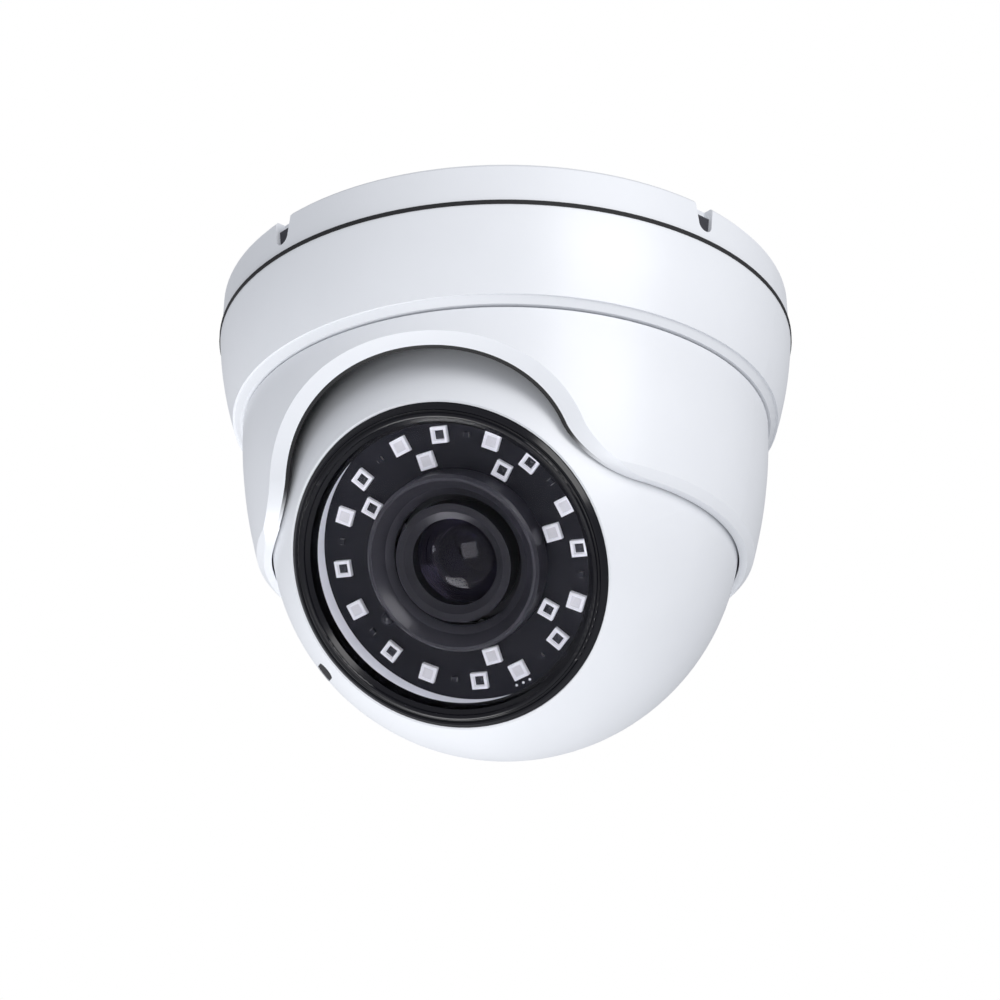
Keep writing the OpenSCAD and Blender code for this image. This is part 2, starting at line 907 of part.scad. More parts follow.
module lens_front_ring() {
  color([0.2, 0.2, 0.23])
  on_lens()
    difference() {
      translate([0, 0, barrel_d - 4.2])
        cylinder(r = barrel_r, h = 4.2);
      translate([0, 0, barrel_d - 5])
        cylinder(r = barrel_r - 0.98, h = 4);
      translate([0, 0, barrel_d - 5])
        cylinder(r = eye_r - 0.4, h = 10);
      translate([0, 0, barrel_d - 0.9])
        cylinder(r1 = eye_r - 0.4, r2 = eye_r + 1.2, h = 1);
    }
}

module front_lens() {
  color([0.25, 0.22, 0.35, 0.7])
  on_lens()
    intersection() {
      translate([0, 0, front_low])
        cylinder(r = eye_r - 0.05, h = barrel_d - 1.05 - front_low);
      translate([0, 0, barrel_d - 1.5 - front_curve])
        sphere(r = front_curve, $fn = 120);
    }
}

module rear_lens() {
  color([0.3, 0.3, 0.4, 0.7])
  on_lens()
    intersection() {
      translate([0, 0, sensor_d + 5])
        cylinder(r = barrel_r * 0.55 - 0.03, h = 3);
      translate([0, 0, sensor_d + 4 + 1.2 * barrel_r])
        sphere(r = 1.2 * barrel_r, $fn = 120);
    }
}

// A knurled adjusting ring with a small lever towards the adjuster slot.
module adjusting_ring(station) {
  on_lens()
    translate([0, 0, station])
      difference() {
        union() {
          cylinder(r = barrel_r - 1 + ring_h, h = ring_w);
          rotate([0, 0, ball_turn])
            translate([barrel_r + ring_h - 2, -1.2, ring_w * 0.2])
              cube([4, 2.4, ring_w * 0.6]);
        }
        translate([0, 0, -1])
          cylinder(r = barrel_r - 1 + ring_play, h = ring_w + 2);
        around([for (i = [1:17]) ball_turn + i * 20], barrel_r - 1 + ring_h + 0.5)
          translate([0, 0, -1])
            cylinder(r = 1, h = ring_w + 2, $fn = 24);
      }
}

module zoom_ring() {
  color([0.3, 0.3, 0.33])
  adjusting_ring(zoom_d);
}

module focus_ring() {
  color([0.26, 0.26, 0.29])
  adjusting_ring(focus_d);
}

module lens_mount() {
  color([0.14, 0.14, 0.16])
  on_lens()
    difference() {
      translate([-11, -11, sensor_d])
        cube([22, 22, chassis_d - sensor_d]);
      translate([0, 0, sensor_d + 3.9])
        cylinder(r = barrel_r * 0.8 + 0.02, h = 20);
      translate([-6.5, -6.5, sensor_d - 1])
        cube([13, 13, 3.6]);
      translate([0, 0, sensor_d])
        cylinder(r = 4.6, h = 20);
    }
}

module ir_filter() {
  color([0.45, 0.7, 0.75, 0.6])
  on_lens()
    translate([-5.4, -5.4, sensor_d + 1.8])
      cube([10.8, 10.8, 0.5]);
}

module image_sensor() {
  color([0.2, 0.25, 0.3])
  on_lens()
    translate([-5, -4, sensor_d])
      cube([10, 8, 1.2]);
}

module sensor_board() {
  color([0.1, 0.32, 0.2])
  on_lens()
    translate([-16, -16, sensor_d - board_t])
      cube([32, 32, board_t]);
}

module chassis() {
  color([0.7, 0.71, 0.73])
  on_lens()
    difference() {
      translate([0, 0, chassis_d])
        cylinder(r = standoff_r + 4, h = chassis_t);
      translate([0, 0, chassis_d - 1])
        cylinder(r = barrel_r * 0.8 + 0.2, h = chassis_t + 2);
      around([ball_turn - 60, ball_turn + 60, ball_turn + 180], post_r - 2.2)
        translate([0, 0, chassis_d - 1])
          cylinder(r = 1.1, h = chassis_t + 2);
      around([ball_turn, ball_turn + 120, ball_turn + 240], standoff_r)
        translate([0, 0, chassis_d - 1])
          cylinder(r = 1.3, h = chassis_t + 2);
    }
}

module chassis_screw() {
  color([0.62, 0.63, 0.65])
  on_lens()
    around([ball_turn - 60, ball_turn + 60, ball_turn + 180], post_r - 2.2)
      translate([0, 0, chassis_d - 1.2])
        screw(2, 1.2, 1, chassis_t + 4.5, 0.9);
}

module standoff() {
  color([0.75, 0.68, 0.42])
  on_lens()
    around([ball_turn, ball_turn + 120, ball_turn + 240], standoff_r) {
      translate([0, 0, main_d])
        cylinder(r = 2, h = chassis_d - main_d);
      translate([0, 0, chassis_d - eps])
        cylinder(r = 1.25, h = chassis_t);
      translate([0, 0, main_d - board_t - 1.2])
        cylinder(r = 1.25, h = board_t + 1.3);
    }
}

module main_board() {
  color([0.1, 0.32, 0.2])
  on_lens()
    difference() {
      translate([0, 0, main_d - board_t])
        cylinder(r = main_r, h = board_t);
      around([ball_turn, ball_turn + 120, ball_turn + 240], standoff_r)
        translate([0, 0, main_d - board_t - 1])
          cylinder(r = 1.3, h = board_t + 2);
      translate([0, 0, main_d - board_t - 1])
        cylinder(r = hub_bore_r, h = board_t + 2);
    }
}

module processor() {
  color([0.12, 0.12, 0.13])
  on_lens()
    for (p = [[-18, -7], [8, -7]])
      translate([p[0], p[1], main_d - board_t - 1.4])
        cube([10, 14, 1.4]);
}

module board_socket() {
  color([0.93, 0.92, 0.88])
  on_lens() {
    translate([-6, -19, main_d])
      cube([12, 4.5, 3.6]);
    translate([-6, 14, main_d])
      cube([12, 4.5, 3.6]);
  }
}

module heat_block() {
  color([0.75, 0.76, 0.78])
  on_lens()
    difference() {
      translate([-18, -7, back_d])
        cube([36, 14, main_d - board_t - 1.4 - back_d]);
      translate([0, 0, back_d - 1])
        cylinder(r = hub_bore_r + 2, h = 40);
      for (x = [-16 : 4 : 16])
        translate([x, -8, back_d - 1])
          cube([1.6, 16, 8]);
    }
}

// ---- assembly ------------------------------------------------------------
base_plate();
notch_plug();
cable_grommet();
base_gasket();
housing();
housing_screw();
pan_washer();
turret_shell();
tilt_bush();
pan_retainer();
retainer_screw();
tilt_yoke();
tilt_pin();
roll_washer();
ball_shell();
ball_seal();
back_cover();
cover_screw();
hub_nut();
adjuster_plug();
bezel();
bezel_seal();
window();
window_mask();
baffle_ring();
light_board();
ir_emitter();
emitter_chip();
light_sensor();
lens_hood();
lens_barrel();
lens_front_ring();
front_lens();
rear_lens();
zoom_ring();
focus_ring();
lens_mount();
ir_filter();
image_sensor();
sensor_board();
chassis();
chassis_screw();
standoff();
main_board();
processor();
board_socket();
heat_block();
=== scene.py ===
# %% [markdown]
# # A ceiling turret camera
# The camera is already built as exact CAD solids, each in its true place. This lesson gives them
# their finishes, models the small things that a maker's eye looks for behind the window, and lights
# the whole like a product on a white table. Everything is in metres: +Z is up into the ceiling.

# %% Load the solids
import bpy
import bmesh
import json
import math
from mathutils import Matrix, Vector


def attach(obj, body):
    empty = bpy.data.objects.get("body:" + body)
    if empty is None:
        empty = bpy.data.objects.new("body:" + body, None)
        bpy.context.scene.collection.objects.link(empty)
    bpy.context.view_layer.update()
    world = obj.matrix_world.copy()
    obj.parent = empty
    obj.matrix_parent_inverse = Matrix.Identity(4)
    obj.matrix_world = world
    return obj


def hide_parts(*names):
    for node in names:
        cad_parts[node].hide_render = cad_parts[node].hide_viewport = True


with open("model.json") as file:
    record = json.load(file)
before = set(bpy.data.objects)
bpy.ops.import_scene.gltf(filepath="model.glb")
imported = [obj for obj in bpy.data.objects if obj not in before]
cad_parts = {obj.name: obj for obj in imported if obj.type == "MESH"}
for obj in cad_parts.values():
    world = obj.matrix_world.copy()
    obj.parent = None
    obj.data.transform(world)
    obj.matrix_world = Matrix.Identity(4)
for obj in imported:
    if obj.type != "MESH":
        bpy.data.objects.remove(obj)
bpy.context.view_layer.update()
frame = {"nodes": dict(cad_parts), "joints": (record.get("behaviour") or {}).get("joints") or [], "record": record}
scene = bpy.context.scene
MM = 0.001

# %% [markdown]
# ## Finding the lens
# The ball rolls about the lens axis, so the roll joint already says where the ball's middle is and
# which way the lens looks. A matrix made from the two lets each optical piece be modelled upright
# at the middle of the world, where it is easy, and then be seated in one step. Its X is the
# camera's own side, Y is up along the window and Z looks out.

# %% The seat of every optical piece
roll = next(j for j in frame["joints"] if j["name"] == "roll")
ball_middle = Vector(roll["pos_m"])
look = Vector(roll["axis"]).normalized()
side = Vector((1, 0, 0))
turned = Matrix((side, look.cross(side), look)).transposed().to_4x4()
seat = Matrix.Translation(ball_middle) @ turned
unseat = seat.inverted()


def reach(node):
    """Nearest and furthest station of a CAD node along the lens, and its greatest radius."""
    spots = [unseat @ v.co for v in frame["nodes"][node].data.vertices]
    stations = [p.z for p in spots]
    return min(stations), max(stations), max(math.hypot(p.x, p.y) for p in spots)


board_front = reach("light_board")[1]
print("board's face", round(board_front / MM, 2), "mm from the ball's middle")

# %% [markdown]
# ## Working by hand, in code
# Operators act on whatever is selected, and the loaded solids arrive selected. These helpers put
# everything down, start a primitive, pick faces by where they are, and hand back a finished piece
# whose place is in its mesh, so that its object stays at the origin.


# %% Bench helpers
def put_down():
    """Leave edit mode and select nothing."""
    if bpy.context.mode != "OBJECT":
        bpy.ops.object.mode_set(mode="OBJECT")
    bpy.ops.object.select_all(action="DESELECT")


def settle():
    """Put the active piece down, move its place into its mesh, and return it selected."""
    put_down()
    piece = bpy.context.active_object
    piece.select_set(True)
    bpy.ops.object.transform_apply(location=True, rotation=True, scale=True)
    return piece


def edit(select="FACE"):
    """Open the active piece for shaping."""
    bpy.ops.object.mode_set(mode="EDIT")
    bpy.ops.mesh.select_mode(type=select)


def pick(test):
    """Select only the faces whose middle and normal pass the test; says how many."""
    shape = bmesh.from_edit_mesh(bpy.context.active_object.data)
    bpy.ops.mesh.select_all(action="DESELECT")
    found = [f for f in shape.faces if test(f.calc_center_median(), f.normal)]
    for f in found:
        f.select_set(True)
    bmesh.update_edit_mesh(bpy.context.active_object.data)
    return len(found)


def modifier(kind, **settings):
    """Add a modifier to the active piece and apply it at once."""
    piece = bpy.context.active_object
    made = piece.modifiers.new(kind.title(), kind)
    for key, value in settings.items():
        setattr(made, key, value)
    bpy.ops.object.modifier_apply(modifier=made.name)


def soften(width, segments=2, angle=30):
    """Round the sharp edges of the active piece."""
    modifier("BEVEL", width=width, segments=segments, limit_method="ANGLE",
             angle_limit=math.radians(angle))


def hand_over(name, body, finish, smooth=35):
    """Name the active piece, seat it, and give it its body and finish."""
    piece = settle()
    bpy.ops.object.shade_smooth_by_angle(angle=math.radians(smooth))
    piece.data.transform(seat)
    piece.name = piece.data.name = name
    piece.data.materials.clear()
    piece.data.materials.append(finish)
    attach(piece, body)
    return piece


def turn(outline, steps=96):
    """Spin a closed outline of (radius, station) points about the upright axis."""
    put_down()
    bpy.ops.mesh.primitive_circle_add(vertices=len(outline), radius=0.01)
    edit("VERT")
    shape = bmesh.from_edit_mesh(bpy.context.active_object.data)
    for vertex, (radius, station) in zip(shape.verts, outline):
        vertex.co = Vector((radius, 0, station))
    bpy.ops.mesh.select_all(action="SELECT")
    bpy.ops.mesh.spin(steps=steps, angle=2 * math.pi, center=(0, 0, 0), axis=(0, 0, 1))
    bpy.ops.mesh.select_all(action="SELECT")
    bpy.ops.mesh.remove_doubles(threshold=1e-7)
    bpy.ops.mesh.normals_make_consistent(inside=False)
    bpy.ops.object.mode_set(mode="OBJECT")
    return bpy.context.active_object


# %% [markdown]
# ## Surface effects as node groups
# Several finishes share the same small irregularities. A powder coat has a fine orange peel and
# a very slight drift in tone; moulded plastic has spark-eroded grain; turned metal has rings. Each
# is built once as a node group with named sockets, and every material sets its own values.


# %% Group helpers
def new_group(name, inputs, outputs):
    """A shader node group with the given float inputs and outputs."""
    group = bpy.data.node_groups.new(name, "ShaderNodeTree")
    for label, value in inputs:
        socket = group.interface.new_socket(label, in_out="INPUT", socket_type="NodeSocketFloat")
        socket.default_value = value
    for label in outputs:
        group.interface.new_socket(label, in_out="OUTPUT", socket_type="NodeSocketFloat")
    return group, group.nodes.new("NodeGroupInput"), group.nodes.new("NodeGroupOutput")


def noise(tree, scale, detail=2.0, rough=0.5):
    """A noise texture on object coordinates."""
    where = tree.nodes.new("ShaderNodeTexCoord")
    node = tree.nodes.new("ShaderNodeTexNoise")
    node.inputs["Scale"].default_value = scale
    node.inputs["Detail"].default_value = detail
    node.inputs["Roughness"].default_value = rough
    tree.links.new(where.outputs["Object"], node.inputs["Vector"])
    return node


def spread(tree, value, low, high):
    """Map 0.3..0.7, where noise mostly lies, to low..high; the ends may be sockets."""
    node = tree.nodes.new("ShaderNodeMapRange")
    node.inputs["From Min"].default_value = 0.3
    node.inputs["From Max"].default_value = 0.7
    for label, end in (("To Min", low), ("To Max", high)):
        if isinstance(end, bpy.types.NodeSocket):
            tree.links.new(end, node.inputs[label])
        else:
            node.inputs[label].default_value = end
    tree.links.new(value, node.inputs["Value"])
    return node.outputs["Result"]


# %% Fine grain group
grain, gin, gout = new_group(
    "fine grain",
    [("Scale", 1500.0), ("Coarse Share", 0.25), ("Rough Low", 0.35), ("Rough High", 0.45),
     ("Tone Low", 0.97), ("Tone High", 1.0)],
    ["Height", "Roughness", "Tone"],
)
fine = noise(grain, 1.0, 3.0)
grain.links.new(gin.outputs["Scale"], fine.inputs["Scale"])
coarse = noise(grain, 90.0, 2.0)
mix_height = grain.nodes.new("ShaderNodeMix")
grain.links.new(gin.outputs["Coarse Share"], mix_height.inputs["Factor"])
grain.links.new(fine.outputs["Fac"], mix_height.inputs["A"])
grain.links.new(coarse.outputs["Fac"], mix_height.inputs["B"])
grain.links.new(mix_height.outputs["Result"], gout.inputs["Height"])
drift = noise(grain, 28.0, 3.0, 0.6)
grain.links.new(
    spread(grain, drift.outputs["Fac"], gin.outputs["Rough Low"], gin.outputs["Rough High"]),
    gout.inputs["Roughness"],
)
blotch = noise(grain, 45.0, 4.0, 0.65)
grain.links.new(
    spread(grain, blotch.outputs["Fac"], gin.outputs["Tone Low"], gin.outputs["Tone High"]),
    gout.inputs["Tone"],
)
print("group", grain.name, "with", len(grain.nodes), "nodes")

# %% Turned rings group
rings, rin, rout = new_group("turned rings", [("Pitch", 4000.0), ("Shake", 0.3)], ["Height"])
place = rings.nodes.new("ShaderNodeTexCoord")
centred = rings.nodes.new("ShaderNodeMapping")
centred.vector_type = "TEXTURE"
centred.inputs["Location"].default_value = ball_middle
centred.inputs["Rotation"].default_value = seat.to_euler()
rings.links.new(place.outputs["Object"], centred.inputs["Vector"])
apart = rings.nodes.new("ShaderNodeSeparateXYZ")
rings.links.new(centred.outputs["Vector"], apart.inputs["Vector"])
flat = rings.nodes.new("ShaderNodeCombineXYZ")
rings.links.new(apart.outputs["X"], flat.inputs["X"])
rings.links.new(apart.outputs["Y"], flat.inputs["Y"])
length = rings.nodes.new("ShaderNodeVectorMath")
length.operation = "LENGTH"
rings.links.new(flat.outputs["Vector"], length.inputs[0])
total = rings.nodes.new("ShaderNodeMath")
total.operation = "ADD"
rings.links.new(length.outputs["Value"], total.inputs[0])
rings.links.new(apart.outputs["Z"], total.inputs[1])
times = rings.nodes.new("ShaderNodeMath")
times.operation = "MULTIPLY"
rings.links.new(total.outputs["Value"], times.inputs[0])
rings.links.new(rin.outputs["Pitch"], times.inputs[1])
wave = rings.nodes.new("ShaderNodeMath")
wave.operation = "SINE"
rings.links.new(times.outputs["Value"], wave.inputs[0])
rings.links.new(wave.outputs["Value"], rout.inputs["Height"])
print("group", rings.name, "with", len(rings.nodes), "nodes")

# %% [markdown]
# ## One recipe for every finish
# A finish is a Principled shader with the grain group feeding its colour, roughness and bump.
# The recipe below takes the plain numbers that stay the same all over, which are set on the
# shader's own sockets, and the ranges that vary, which go to the group.


# %% The recipe
def finish(name, colour, rough=(0.4, 0.5), tone=(0.96, 1.0), scale=1500.0, coarse=0.2,
           bump=0.1, deep=0.02, pitch=None, **plain):
    """A procedural material; extra words are plain values for the shader, such as Metallic."""
    material = bpy.data.materials.new(name)
    material.use_nodes = True
    tree = material.node_tree
    shader = tree.nodes["Principled BSDF"]
    for label, value in plain.items():
        shader.inputs[label.replace("_", " ")].default_value = value
    texture = tree.nodes.new("ShaderNodeGroup")
    texture.node_tree = grain
    for label, value in (("Scale", scale), ("Coarse Share", coarse), ("Rough Low", rough[0]),
                         ("Rough High", rough[1]), ("Tone Low", tone[0]), ("Tone High", tone[1])):
        texture.inputs[label].default_value = value
    tint = tree.nodes.new("ShaderNodeMix")
    tint.data_type = "RGBA"
    tint.blend_type = "MULTIPLY"
    tint.inputs["Factor"].default_value = 1.0
    tint.inputs["A"].default_value = (*colour, 1)
    tree.links.new(texture.outputs["Tone"], tint.inputs["B"])
    tree.links.new(tint.outputs["Result"], shader.inputs["Base Color"])
    tree.links.new(texture.outputs["Roughness"], shader.inputs["Roughness"])
    relief = tree.nodes.new("ShaderNodeBump")
    relief.inputs["Strength"].default_value = bump
    relief.inputs["Distance"].default_value = deep * MM
    if pitch:
        turned = tree.nodes.new("ShaderNodeGroup")
        turned.node_tree = rings
        turned.inputs["Pitch"].default_value = pitch
        tree.links.new(turned.outputs["Height"], relief.inputs["Height"])
    else:
        tree.links.new(texture.outputs["Height"], relief.inputs["Height"])
    tree.links.new(relief.outputs["Normal"], shader.inputs["Normal"])
    return material


# %% [markdown]
# ## The finishes
# The shells are die-cast metal under a cool white satin powder coat. Powder coat is close to a
# lacquer, so a little coat weight over a soft base gives the broad, gentle highlight. The bezel is
# a smoother black plastic, the hood round the lens is matt so that it throws no light back, and the
# emitters sit in white ceramic packages that carry a painted glow.

# %% Outside finishes
white_paint = finish("satin white powder coat", (0.80, 0.82, 0.86), (0.34, 0.44), (0.975, 1.0),
                     scale=1300, coarse=0.35, bump=0.12, deep=0.03,
                     Coat_Weight=0.15, Coat_Roughness=0.25)
black_rubber = finish("matt black rubber", (0.012, 0.012, 0.014), (0.7, 0.85), (0.7, 1.0),
                      scale=2600, bump=0.4, deep=0.03)
wedge_rubber = finish("dark grey moulded plug", (0.03, 0.03, 0.04), (0.5, 0.65), (0.8, 1.0),
                      scale=2600, bump=0.3, deep=0.02)
bezel_black = finish("polished black bezel", (0.005, 0.005, 0.008), (0.14, 0.17), (0.85, 1.0),
                     scale=3000, bump=0.01, deep=0.005, Specular_IOR_Level=0.32)
print("outside finishes", 4)

# %% [markdown]
# The turning shell's hollow is painted near black. This is painted shade, so that the slot between
# shell and ball reads as a black line. The hollow is an arc swept round the upright axis, so the
# distance from the arc's middle tells inside from outside. A narrow band at the edge carries the
# same painted shade, and the painted shade fades out below the middle of the ball.

# %% Shell finish with painted shade in the hollow
ARC_RADIUS = 98 * MM
FRONT_WALL = 2.4 * MM
SHADE_EDGE_BAND = 0.45 * MM
SHADE_FADE_BELOW, SHADE_FADE_ABOVE = 8.0 * MM, 2.5 * MM
shell_mesh = frame["nodes"]["turret_shell"].data
spots = [(math.hypot(v.co.x, v.co.y), v.co.z) for v in shell_mesh.vertices]
widest = max(radius for radius, height in spots)
arc_top = max(height for radius, height in spots if radius > 0.97 * widest)
arc_middle = widest - ARC_RADIUS
shell_paint_with_painted_shade = white_paint.copy()
shell_paint_with_painted_shade.name = "white powder coat, painted shade inside"
tree = shell_paint_with_painted_shade.node_tree
shader = tree.nodes["Principled BSDF"]
where = tree.nodes.new("ShaderNodeTexCoord")
apart = tree.nodes.new("ShaderNodeSeparateXYZ")
tree.links.new(where.outputs["Object"], apart.inputs["Vector"])


def math_node(operation, first, second=None, value=0.0):
    """A math node fed by one socket and a number, or by two sockets."""
    node = tree.nodes.new("ShaderNodeMath")
    node.operation = operation
    tree.links.new(first, node.inputs[0])
    if second is not None:
        tree.links.new(second, node.inputs[1])
    else:
        node.inputs[1].default_value = value
    return node.outputs["Value"]


def squared(first, offset=0.0):
    """The square of a value after an offset is taken from it."""
    return math_node("POWER", math_node("SUBTRACT", first, value=offset), value=2.0)


def root(first):
    """A square root."""
    return math_node("POWER", first, value=0.5)


# Mask of the painted shade: the hollow plus a narrow band at its edge, faded out below the ball's middle.
across = root(math_node("ADD", squared(apart.outputs["X"]), squared(apart.outputs["Y"])))
reached = root(math_node("ADD", squared(across, arc_middle), squared(apart.outputs["Z"], arc_top)))
inside = math_node("LESS_THAN", reached, value=ARC_RADIUS - FRONT_WALL + SHADE_EDGE_BAND)
shade_fade = tree.nodes.new("ShaderNodeMapRange")
shade_fade.interpolation_type = "SMOOTHSTEP"
shade_fade.inputs["From Min"].default_value = ball_middle.z - SHADE_FADE_BELOW
shade_fade.inputs["From Max"].default_value = ball_middle.z - SHADE_FADE_ABOVE
tree.links.new(apart.outputs["Z"], shade_fade.inputs["Value"])
painted_shade_mask = math_node("MULTIPLY", inside, shade_fade.outputs["Result"])
# Painted shade: where the mask holds, the coat colour gives way to near black, standing in for the shade in the
# slot.
painted_shade_mix = tree.nodes.new("ShaderNodeMix")
painted_shade_mix.data_type = "RGBA"
painted_shade_mix.inputs["B"].default_value = (0.002, 0.002, 0.003, 1)
tree.links.new(painted_shade_mask, painted_shade_mix.inputs["Factor"])
tree.links.new(shader.inputs["Base Color"].links[0].from_socket, painted_shade_mix.inputs["A"])
tree.links.new(painted_shade_mix.outputs["Result"], shader.inputs["Base Color"])
print("hollow begins", round((ARC_RADIUS - FRONT_WALL) / MM, 2), "mm from the arc's middle")

# %% Finishes behind the window
hood_plastic = finish("charcoal hood", (0.042, 0.041, 0.050), (0.28, 0.36), (0.9, 1.0),
                      scale=3500, bump=0.08, deep=0.01)
lens_metal = finish("black anodised barrel", (0.022, 0.021, 0.027), (0.28, 0.36), (0.9, 1.0),
                    bump=0.15, deep=0.008, pitch=9000, Metallic=0.3)
ring_metal = finish("knurled ring", (0.05, 0.05, 0.055), (0.32, 0.4), (0.9, 1.0), Metallic=0.7)
# Painted glow: the emission makes this ring brighter than the lamps alone would light it.
bright_plastic = finish("white ring with painted glow", (0.72, 0.73, 0.77), (0.2, 0.28), (0.96, 1.0),
                        scale=2500, bump=0.05, deep=0.01, Emission_Color=(0.9, 0.92, 1, 1),
                        Emission_Strength=0.35)
circuit_black = finish("black solder mask", (0.009, 0.009, 0.015), (0.4, 0.5), (0.85, 1.0),
                       scale=900, coarse=0.5, bump=0.04, deep=0.01, Specular_IOR_Level=0.25)
# Painted glow: the emission brightens the ceramic beyond what the lamps give it through the glass.
glowing_ceramic_white = finish("white ceramic package with painted glow", (0.88, 0.88, 0.9), (0.3, 0.4), (0.95, 1.0),
                       scale=5000, bump=0.1, deep=0.01, Emission_Color=(0.95, 0.95, 1, 1),
                       Emission_Strength=0.15)
# Painted glow: the filled well's emission brightens it beyond what the lamps give it.
glowing_phosphor = finish("pale filled well with painted glow", (0.70, 0.69, 0.70), (0.25, 0.35), (0.92, 1.0),
                  scale=5000, bump=0.1, deep=0.01, Emission_Color=(0.95, 0.95, 1, 1),
                  Emission_Strength=0.14)
chip_dark = finish("dark chip", (0.03, 0.03, 0.04), (0.15, 0.25), (0.7, 1.0), scale=6000, bump=0.1)
pad_metal = finish("tinned pad", (0.7, 0.69, 0.66), (0.25, 0.4), (0.85, 1.0), Metallic=1.0)
throat_black = finish("blackened throat", (0.006, 0.006, 0.009), (0.3, 0.4), (0.85, 1.0),
                      bump=0.1, deep=0.005, pitch=12000)
print("window finishes", 10)

# %% Finishes inside the shells
slip_plastic = finish("ivory acetal", (0.8, 0.79, 0.74), (0.35, 0.45), scale=2000)
steel = finish("plain steel", (0.55, 0.55, 0.57), (0.25, 0.38), (0.88, 1.0), Metallic=1.0)
sheet_steel = finish("zinc plated sheet", (0.62, 0.63, 0.66), (0.3, 0.5), (0.8, 1.0), scale=600,
                     coarse=0.6, Metallic=1.0)
circuit_green = finish("green solder mask", (0.012, 0.11, 0.045), (0.25, 0.38), (0.7, 1.0),
                       scale=900, coarse=0.5, bump=0.15)
chassis_alu = finish("milled aluminium", (0.7, 0.71, 0.73), (0.28, 0.42), (0.88, 1.0), Metallic=1.0,
                     pitch=6000, bump=0.1, deep=0.01)
brass_spacer = finish("drawn brass", (0.72, 0.55, 0.24), (0.25, 0.35), (0.85, 1.0), Metallic=1.0)
socket_plastic = finish("ivory socket", (0.8, 0.77, 0.68), (0.4, 0.5), scale=2500)
print("inside finishes", 7)

# %% [markdown]
# ## Glass
# The window is a flat plate of slightly grey glass, thick enough to bend what lies behind it a
# little. It is real transmission, not a see-through trick, so the board's emitters shift in it as
# they should. The lens elements are darker, with a violet bloom from their coating.


# %% Glass finishes
def glass(name, clear, wiped, **plain):
    """A clear Principled material whose tint drifts slightly, as where a cloth has wiped it."""
    material = bpy.data.materials.new(name)
    material.use_nodes = True
    tree = material.node_tree
    shader = tree.nodes["Principled BSDF"]
    shader.inputs["Transmission Weight"].default_value = 1.0
    shader.inputs["Roughness"].default_value = 0.0
    for label, value in plain.items():
        shader.inputs[label.replace("_", " ")].default_value = value
    smear = noise(tree, 40.0, 2.0)
    tint = tree.nodes.new("ShaderNodeMix")
    tint.data_type = "RGBA"
    tint.inputs["A"].default_value = (*wiped, 1)
    tint.inputs["B"].default_value = (*clear, 1)
    tree.links.new(spread(tree, smear.outputs["Fac"], 0.0, 1.0), tint.inputs["Factor"])
    tree.links.new(tint.outputs["Result"], shader.inputs["Base Color"])
    return material


window_glass = glass("grey window glass", (0.97, 0.97, 1.0), (0.95, 0.95, 0.99), IOR=1.1)
lens_glass = glass("coated lens glass", (0.36, 0.33, 0.46), (0.33, 0.30, 0.43), IOR=1.3,
                   Specular_IOR_Level=0.3)
print("glass finishes", 2)

# %% [markdown]
# ## Dressing the solids
# A loaded solid keeps its shape and only gets a better finish. The record's slot names lead
# straight to the finishes; a few solids differ from their slot and are named one by one.

# %% Dress every CAD node
by_slot = {
    "white_paint": white_paint, "black_rubber": black_rubber, "slip_plastic": slip_plastic,
    "steel": steel, "sheet_steel": sheet_steel, "bezel_black": bezel_black,
    "window_glass": window_glass, "bright_plastic": bright_plastic, "circuit_black": circuit_black,
    "emitter_white": glowing_ceramic_white, "chip_dark": chip_dark, "hood_plastic": hood_plastic,
    "lens_metal": lens_metal, "ring_metal": ring_metal, "lens_glass": lens_glass,
    "circuit_green": circuit_green, "chassis_alu": chassis_alu, "brass_spacer": brass_spacer,
    "socket_plastic": socket_plastic,
}
own = {"notch_plug": wedge_rubber, "turret_shell": shell_paint_with_painted_shade}
for part in frame["record"]["subparts"]:
    node = frame["nodes"][part["node"]]
    dress = own.get(part["node"], by_slot[part["material_slot"]])
    node.data.materials.clear()
    node.data.materials.append(dress)

# %% [markdown]
# ## The emitters
# Each emitter is a square ceramic package soldered to the board. Half of them have an open well
# with a dark chip at the bottom, and the others are filled level. Both start as a cube: its upright
# edges are bevelled, the top is inset and pushed down for the well, and a smaller inset is raised
# for the chip. The places come from the CAD solids, one island of mesh for each emitter.


# %% Where the emitters sit
def islands(node):
    """Middle of each separate solid of a CAD node, in the lens's own frame."""
    shape = bmesh.new()
    shape.from_mesh(frame["nodes"][node].data)
    bmesh.ops.remove_doubles(shape, verts=shape.verts, dist=1e-6)
    waiting, middles = set(shape.verts), []
    while waiting:
        group, stack = [], [waiting.pop()]
        while stack:
            vertex = stack.pop()
            group.append(unseat @ vertex.co)
            for e in vertex.link_edges:
                other = e.other_vert(vertex)
                if other in waiting:
                    waiting.remove(other)
                    stack.append(other)
        lows = [min(p[i] for p in group) for i in range(3)]
        highs = [max(p[i] for p in group) for i in range(3)]
        middles.append(((lows[0] + highs[0]) / 2, (lows[1] + highs[1]) / 2, lows[2], highs[2]))
    shape.free()
    return sorted(middles, key=lambda m: math.atan2(m[1], m[0]))


LED = 3.0 * MM
emitters = islands("ir_emitter")
led_tall = emitters[0][3] - emitters[0][2]
print("emitters", len(emitters), "tall", round(led_tall / MM, 2))


